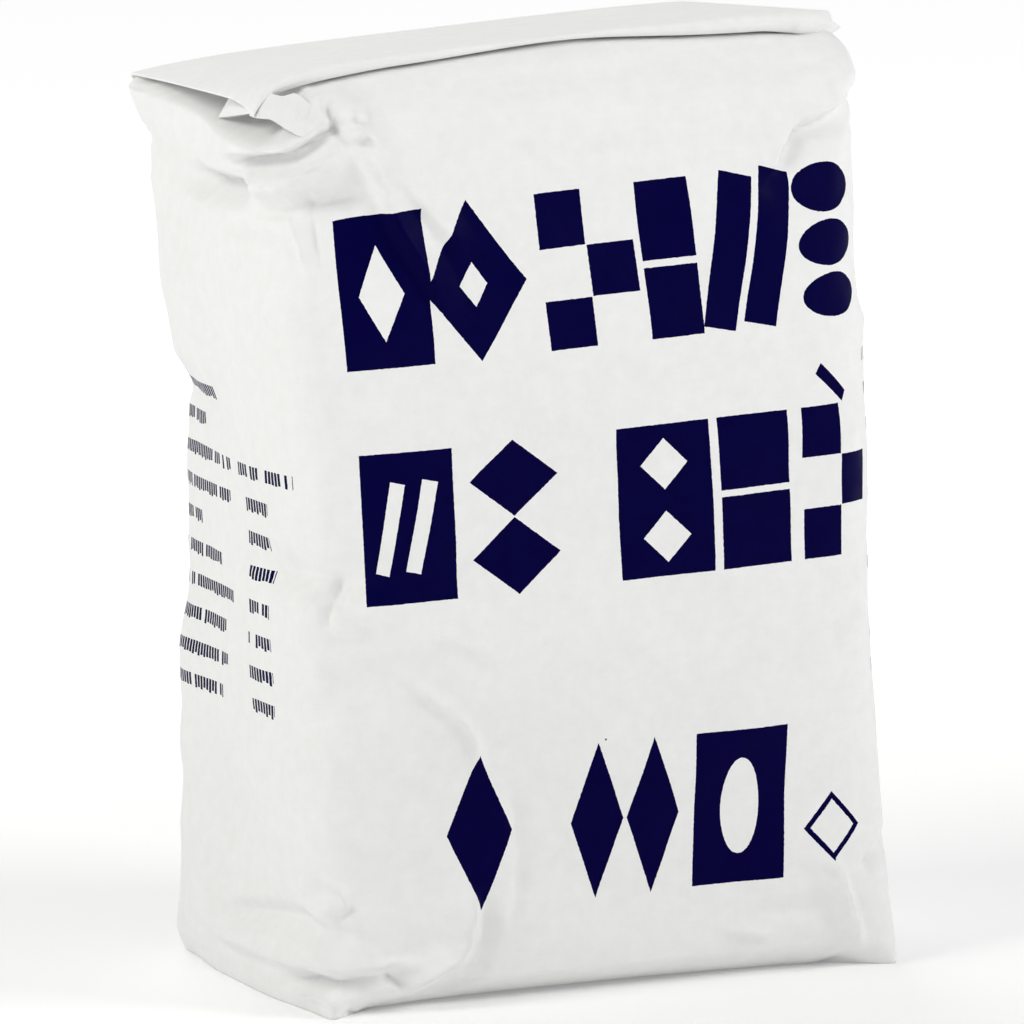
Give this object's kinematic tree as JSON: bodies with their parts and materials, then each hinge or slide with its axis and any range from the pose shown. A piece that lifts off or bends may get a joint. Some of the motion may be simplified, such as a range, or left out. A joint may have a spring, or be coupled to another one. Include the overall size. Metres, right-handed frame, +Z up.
{
  "type": "bag of flour",
  "caption": "Upright paper bag of flour, filled and shut, with crowned panels, tucked sides and a folded top flap ending in a thick front lip.",
  "frame": {"origin": "middle of the bag's bounding box, on the surface it stands on", "axes": "+Z up, the printed front panel faces -Y, +X to the right as the front is looked at"},
  "size_m": [0.1164, 0.0874, 0.1729],
  "materials": {
    "paper": "smooth white kraft paper with a slight gloss, creased, printed in dark navy"
  },
  "bodies": {
    "root": {"bag": "paper"}
  },
  "joints": []
}
